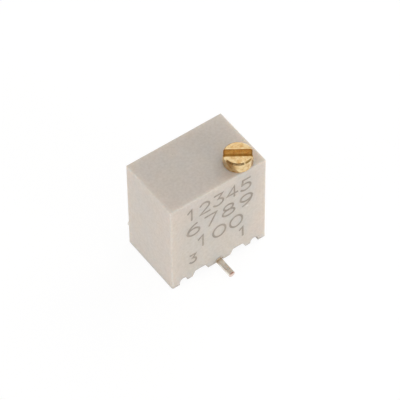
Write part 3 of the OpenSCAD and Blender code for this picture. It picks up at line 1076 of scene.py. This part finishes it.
@dataclass(frozen=True)
class CroppedFace:
    """The domed face that the blade leaves on a wire, with a burr along its lower edge.

    Attributes:
        rim_share: Radius of the bare copper as a share of the lead's.
        dome_mm: How far the face bulges.
        stand_mm: How far it stands off the lead's own end.
        burr_mm: How far the blade's burr stands out at the foot of the face.
        burr_round: How fast the burr fades round the rim.
        burr_in: How fast it fades towards the middle.
        rings: Number of rings in the dome.
        sides: Number of points in a ring.
    """

    rim_share: float = 0.93
    dome_mm: float = 0.055
    stand_mm: float = 0.002
    burr_mm: float = 0.012
    burr_round: int = 3
    burr_in: int = 4
    rings: int = 5
    sides: int = 32

    def build(self, end: WireEnd) -> bmesh.types.BMesh:
        """Builds the face of one lead.

        Args:
            end: The lead and its side.

        Returns:
            A closed cap that is rooted in the lead's end.
        """
        x, y, z, radius = end.section()
        mesh = bmesh.new()
        loops = []
        rim, dome = self.rim_share, self.dome_mm
        domed = [rim * (1 - i / self.rings) for i in range(self.rings)]
        bulges = [self.stand_mm + dome * (1 - (share / rim) ** 2) for share in domed]
        for share, bulge in zip((rim, *domed), (-dome, *bulges)):
            loop = []
            for i in range(self.sides):
                turn = math.tau * i / self.sides
                burr = self.burr_mm * max(0.0, -math.sin(turn)) ** self.burr_round
                out = (bulge + burr * share**self.burr_in) * MM * end.side.value
                right, up = (radius * share * part for part in (math.cos(turn), math.sin(turn)))
                loop.append(mesh.verts.new((x + right, y + out, z + up)))
            loops.append(loop)
        top = (self.stand_mm + dome) * MM * end.side.value
        skin(mesh, loops, mesh.verts.new((x, y + top, z)))
        return mesh


@dataclass(frozen=True)
class FluxBead:
    """The bead of flux that fills the gap over a wire where it leaves the housing.

    Attributes:
        span: Where the bead starts and ends round the wire, in degrees up from its right.
        off_mm: From the wire's surface to the middle of the bead.
        half_mm: Half the bead's thickness.
        taper: The least share of that thickness, at its ends, before the root.
        steps: Number of steps along the bead.
        sides: Number of points round it.
    """

    span: Point = (50.0, 185.0)
    off_mm: float = 0.03
    half_mm: float = 0.04
    taper: float = 0.25
    steps: int = 18
    sides: int = 12

    def build(self, end: WireEnd, face_mm: float) -> bmesh.types.BMesh:
        """Builds the bead of one lead.

        Args:
            end: The lead and its side.
            face_mm: Distance of the housing's face from its middle.

        Returns:
            A closed bead, bent round the top of the wire and drawn thin at both ends.
        """
        x, _, z, radius = end.section()
        bend = radius + self.off_mm * MM
        start, stop = (math.radians(turn) for turn in self.span)
        mesh = bmesh.new()
        loops = []
        for i in range(self.steps + 1):
            share = i / self.steps
            turn = start + (stop - start) * share
            thick = self.half_mm * MM * math.sqrt(max(self.taper, math.sin(math.pi * share)))
            loop = []
            for j in range(self.sides):
                side = math.tau * j / self.sides
                out = bend + thick * math.cos(side)
                y = face_mm * MM * end.side.value + thick * math.sin(side)
                loop.append(mesh.verts.new((x + out * math.cos(turn), y, z + out * math.sin(turn))))
            loops.append(loop)
        skin(mesh, loops)
        return mesh


@dataclass
class Leads:
    """The three round leads, their cropped ends, the flux at their roots and the solder inside."""

    tin: PlatedWire = PlatedWire("tin_plated_wire", "#efebe3", "#d7d1c8", 0.19)
    copper: ShearedCopper = ShearedCopper("sheared_copper", "#dfc3b6", "#e6d8cf", 0.3)
    solder: SetSolder = SetSolder("satin_solder", "#c4c4c0", "#aeaeaa", 0.35)
    flux_and_reflection: FluxResidue = FluxResidue("flux_residue", "#dccdb6", "#bda88e", 0.35)
    crop: CroppedFace = CroppedFace()
    bead: FluxBead = FluxBead()
    ends: tuple[WireEnd, ...] = (
        WireEnd("lead_1", Side.REAR),
        WireEnd("lead_2", Side.FRONT),
        WireEnd("lead_3", Side.REAR),
    )

    def build(self) -> None:
        """Dresses the leads and the solder, and adds the cropped ends and the flux."""
        front = -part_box("housing")[0][1] / MM
        # The tin carries a painted reflection of the housing's face near each root
        tin, solder = self.tin.with_reflection_at(front).build(), self.solder.build()
        copper, flux_and_reflection = self.copper.build(), self.flux_and_reflection.build()
        for end in self.ends:
            dress(end.lead, tin)
            crop, bead = self.crop.build(end), self.bead.build(end, front)
            add_piece(f"{end.lead}_cropped_end", crop, copper, smooth=True)
            add_piece(f"{end.lead}_flux_bead", bead, flux_and_reflection, smooth=True)
        for joint in ("solder_joint_1", "solder_joint_2", "solder_joint_3"):
            dress(joint, solder)


# ---- studio


@dataclass
class Camera:
    """A long lens on a copy stand, above the front left of the part.

    Attributes:
        azimuth: Angle of the view round the part, in degrees; 0 looks at the front face.
        elevation: Angle above the board, in degrees.
        roll: Turn of the camera about its own axis, in degrees.
        distance_mm: From the point aimed at to the lens.
        aim_mm: The point aimed at, on the part's axis.
        right_mm: How far the view is moved to its right.
        up_mm: How far the view is moved up.
        lens_mm: Focal length.
        sensor_mm: Width of the sensor.
        sees_m: The nearest and the furthest distance that it sees.
    """

    azimuth: float = -35.29
    elevation: float = 51.04
    roll: float = -0.75
    distance_mm: float = 165.16
    aim_mm: Triple = (0.0, 0.0, 3.586)
    right_mm: float = 0.197
    up_mm: float = 0.027
    lens_mm: float = 257.3
    sensor_mm: float = 36.0
    sees_m: Point = (0.001, 5.0)

    def build(self) -> None:
        """Places the camera and makes it the scene's own."""
        back = toward(self.azimuth, self.elevation)
        a, r = math.radians(self.azimuth), math.radians(self.roll)
        level = Vector((math.cos(a), math.sin(a), 0.0))
        above = back.cross(level)
        right = level * math.cos(r) + above * math.sin(r)
        up = above * math.cos(r) - level * math.sin(r)
        moved = right * self.right_mm + up * self.up_mm + back * self.distance_mm
        place = (Vector(self.aim_mm) + moved) * MM
        data = bpy.data.cameras.new("camera")
        data.lens = self.lens_mm
        data.sensor_width = self.sensor_mm
        data.clip_start, data.clip_end = self.sees_m
        camera = add_object("camera", data)
        turn = Matrix((right, up, back)).transposed().to_4x4()
        camera.matrix_world = Matrix.Translation(place) @ turn
        bpy.context.scene.camera = camera
        LOG.info("camera at %s", tuple(round(v, 4) for v in place))


@dataclass(frozen=True)
class Softbox:
    """A soft area light.

    Attributes:
        name: The light's name.
        azimuth: Direction round the part that it shines from, in degrees; 0 is the front.
        elevation: Its height above the board, in degrees.
        distance_mm: How far away it stands.
        size_mm: Width of its square face.
        watts: Its power.
        colour: Its colour, sRGB hex.
        mirrored: Whether the metal mirrors its face.
    """

    name: str
    azimuth: float
    elevation: float
    distance_mm: float
    size_mm: float
    watts: float
    colour: str
    mirrored: bool = True

    def build(self) -> None:
        """Makes the light and turns it to the part."""
        away = toward(self.azimuth, self.elevation)
        data = bpy.data.lights.new(self.name, "AREA")
        data.size = self.size_mm * MM
        data.energy = self.watts
        data.color = to_linear(self.colour)[:3]
        light = add_object(self.name, data)
        light.location = away * self.distance_mm * MM
        light.rotation_mode = "QUATERNION"
        light.rotation_quaternion = away.to_track_quat("Z", "Y")
        light.visible_glossy = self.mirrored


def add_stage(
    name: str, points: Sequence[Any], faces: Sequence[Any], material: bpy.types.Material
) -> bpy.types.Object:
    """Adds one thing of the studio, which isn't part of the object.

    Args:
        name: Its name.
        points: Its points, in metres.
        faces: Its faces, each the places of its points.
        material: Its material.

    Returns:
        The new object.
    """
    mesh = bpy.data.meshes.new(name)
    mesh.from_pydata(points, [], faces)
    mesh.materials.append(material)
    thing = add_object(name, mesh)
    return thing


@dataclass(frozen=True)
class FeltCard:
    """A felt card bent round the part, for the metal to mirror and nothing else.

    Attributes:
        name: The card's name.
        ends: Where it starts and ends, in degrees round the part; 0 is the front.
        felt: Its finish.
        edges: Heights of its two edges above the board, in degrees.
        distance_mm: How far away it stands.
        bends: Number of flat strips that it is bent in.
    """

    name: str
    ends: Point
    felt: Felt
    edges: Point = (18.0, 43.0)
    distance_mm: float = 260.0
    bends: int = 24

    def build(self) -> None:
        """Bends the card and hides it from all but the mirror images."""
        start, stop = (math.radians(turn) for turn in self.ends)
        points = []
        for i in range(self.bends + 1):
            turn = start + (stop - start) * i / self.bends
            for height in self.edges:
                way = Vector((math.sin(turn), -math.cos(turn), math.tan(math.radians(height))))
                points.append(way * self.distance_mm * MM)
        faces = [(2 * i, 2 * i + 1, 2 * i + 3, 2 * i + 2) for i in range(self.bends)]
        card = add_stage(self.name, points, faces, self.felt.build())
        card.visible_camera = False
        card.visible_diffuse = False
        card.visible_shadow = False


@dataclass
class Studio:
    """A white sheet, an even white surround, soft lights and two felt cards.

    Attributes:
        zenith: Brightness of the surround overhead, for the light that it sheds.
        horizon: Its brightness at the horizon.
        rear: Share of that brightness that is left straight behind the part.
        sheet_half_mm: Half the width of the white sheet.
        sheet_gap_mm: How far the sheet lies under the leads, so the two never share a plane.
        sheet_tone: The sheet's reflectance.
        sheet_shadow: Share of the sheet's own shading that the camera sees.
        sheet_glow: Strength of the white that covers the rest, which makes up for that shading.
        cards: The felt cards.
        softboxes: The lights.
    """

    zenith: float = 0.44
    horizon: float = 1.0
    rear: float = 0.5
    sheet_half_mm: float = 1500.0
    sheet_gap_mm: float = 0.003
    sheet_tone: float = 0.86
    sheet_shadow: float = 0.14
    sheet_glow: float = 1.06
    cards: tuple[FeltCard, ...] = (
        FeltCard("dark_card", (-120.0, 8.0), Felt("dark_card_felt", "#746041", "#746041", 0.9)),
        FeltCard("pale_card", (18.0, 80.0), Felt("pale_card_felt", "#b8a680", "#b8a680", 0.9)),
    )
    softboxes: tuple[Softbox, ...] = (
        Softbox("softbox_front", 18.0, 9.0, 400.0, 110.0, 0.42, "#fff8f0", mirrored=False),
        Softbox("softbox_left", -98.0, 9.0, 400.0, 110.0, 0.44, "#fff8f2"),
        Softbox("softbox_right", 100.0, 27.0, 300.0, 320.0, 0.39, "#fffaf2"),
    )

    def seen_directly(self, tree: Tree) -> Socket:
        """Tells which rays see the white background.

        Args:
            tree: The node tree of the surround or of the sheet.

        Returns:
            1 for camera, glossy and transmission rays, and 0 for the rest.
        """
        ray = add_node(tree, "LightPath").outputs
        sums = {
            "either": ("MAXIMUM", ray["Is Camera Ray"], ray["Is Glossy Ray"]),
            "any": ("MAXIMUM", "either", ray["Is Transmission Ray"]),
        }
        return work_out(tree, sums)["any"]

    def surround(self) -> None:
        """Makes the world: white where it is seen, and dimmer overhead in the light it sheds."""
        world = bpy.data.worlds.new("surround")
        bpy.context.scene.world = world
        world.use_nodes = True
        tree = world.node_tree
        tree.nodes.clear()
        way = add_node(tree, "TexCoord").outputs["Generated"]
        parts = add_node(tree, "SeparateXYZ", {0: way}).outputs
        overhead, behind = (
            add_node(tree, "MapRange", {"Value": part, "To Min": near, "To Max": far}).outputs[0]
            for part, near, far in (
                (parts["Z"], self.horizon, self.zenith),
                (parts["Y"], 1.0, self.rear),
            )
        )
        level = work_out(tree, {"level": ("MULTIPLY", overhead, behind)})["level"]
        shed = add_node(tree, "Background", {"Color": grey(1.0), "Strength": level})
        seen = add_node(tree, "Background", {"Color": grey(1.0)})
        mix = {0: self.seen_directly(tree), 1: shed.outputs[0], 2: seen.outputs[0]}
        both = add_node(tree, "MixShader", mix)
        add_node(tree, "OutputWorld", {"Surface": both.outputs[0]})

    def paper(self) -> bpy.types.Material:
        """Makes the white paper of the sheet.

        Returns:
            The paper, which glows white where it is seen and keeps a soft shadow.
        """
        material = bpy.data.materials.new("white_paper")
        material.use_nodes = True
        tree = material.node_tree
        tree.nodes.clear()
        matt = add_node(tree, "BsdfDiffuse", {"Color": grey(self.sheet_tone)}).outputs[0]
        glow = {"Color": grey(1.0), "Strength": self.sheet_glow}
        white = add_node(tree, "Emission", glow).outputs[0]
        shaded = add_node(tree, "MixShader", {0: self.sheet_shadow, 1: white, 2: matt}).outputs[0]
        mix = {0: self.seen_directly(tree), 1: matt, 2: shaded}
        both = add_node(tree, "MixShader", mix)
        add_node(tree, "OutputMaterial", {"Surface": both.outputs[0]})
        return material

    def build(self) -> None:
        """Sets up the sheet, the surround, the lights and the cards."""
        self.surround()
        half = self.sheet_half_mm * MM
        corners = [(-half, -half, 0.0), (half, -half, 0.0), (half, half, 0.0), (-half, half, 0.0)]
        sheet = add_stage("white_sheet", corners, [(0, 1, 2, 3)], self.paper())
        sheet.location.z = -self.sheet_gap_mm * MM
        for thing in (*self.cards, *self.softboxes):
            thing.build()
        bpy.context.scene.view_settings.view_transform = "Standard"
        LOG.info("studio with %d softboxes", len(self.softboxes))


def main() -> None:
    """Builds the sub-assemblies in order, and then the studio."""
    logging.basicConfig(level=logging.INFO, format="%(name)s: %(message)s")
    Camera().build()
    for assembly in (Housing(), ScrewDrive(), WiperDrive(), Element(), Leads(), Studio()):
        assembly.build()
        LOG.info("finished %s", type(assembly).__name__)


if __name__ == "__main__":
    main()
